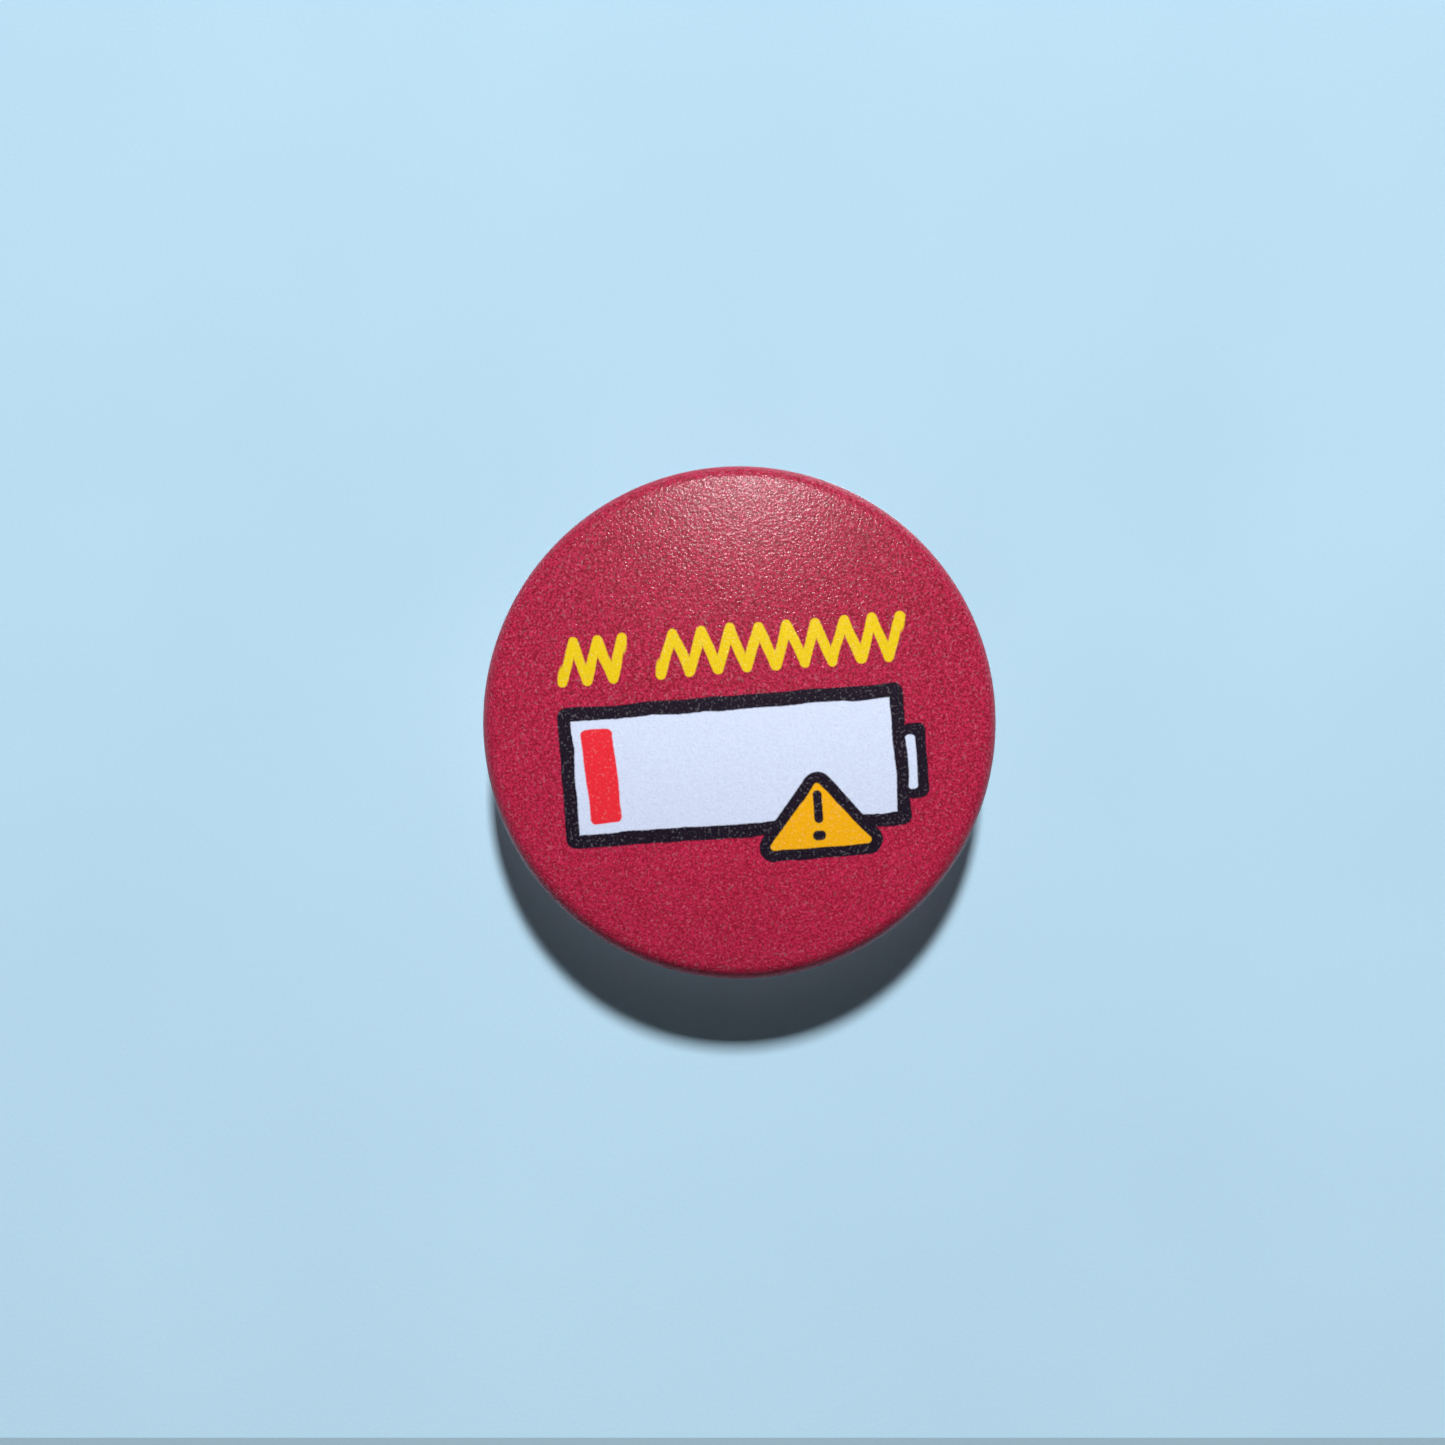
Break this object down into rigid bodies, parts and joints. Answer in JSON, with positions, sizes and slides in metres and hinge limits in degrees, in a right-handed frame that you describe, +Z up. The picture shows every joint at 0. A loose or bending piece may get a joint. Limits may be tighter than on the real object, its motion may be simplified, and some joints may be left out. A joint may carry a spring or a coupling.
{
  "type": "pin-back button badge",
  "caption": "Round domed button badge with a printed face under textured clear film, rolled rim, and a moulded back plate that carries a hinged safety pin.",
  "frame": {"origin": "centre of the badge's bounding box, on the disc's axis", "axes": "+Z up as worn, the printed face looks along -Y, and the back plane and its safety pin look along +Y; the fixed arm of the pin runs along X"},
  "size_m": [0.058, 0.0088, 0.058],
  "materials": {
    "clear_film": "satin",
    "crimson_print": "matte",
    "tinplate": "satin",
    "white_plastic": "satin",
    "nickel_wire": "gloss",
    "nickel_sheet": "gloss"
  },
  "bodies": {
    "badge": {"film_overlay": "clear_film", "printed_artwork": "crimson_print", "front_shell": "tinplate", "back_plate": "white_plastic"},
    "safety_pin": {"pin_fixed_arm": "nickel_wire", "pin_guard": "nickel_sheet"},
    "needle": {"pin_needle": "nickel_wire"}
  },
  "joints": [
    {"name": "pin_swing", "type": "hinge", "parent": "badge", "child": "safety_pin", "pos_m": [0, 0.00264, 0.0023], "axis": [1, 0, 0], "range_deg": [0, 160]},
    {"name": "needle_open", "type": "hinge", "parent": "safety_pin", "child": "needle", "pos_m": [-0.0169, 0.00264, 0.00065], "axis": [0, 1, 0], "range_deg": [0, 30], "stiffness_Nm_per_rad": 0.0001, "springref_deg": -28.65}
  ]
}
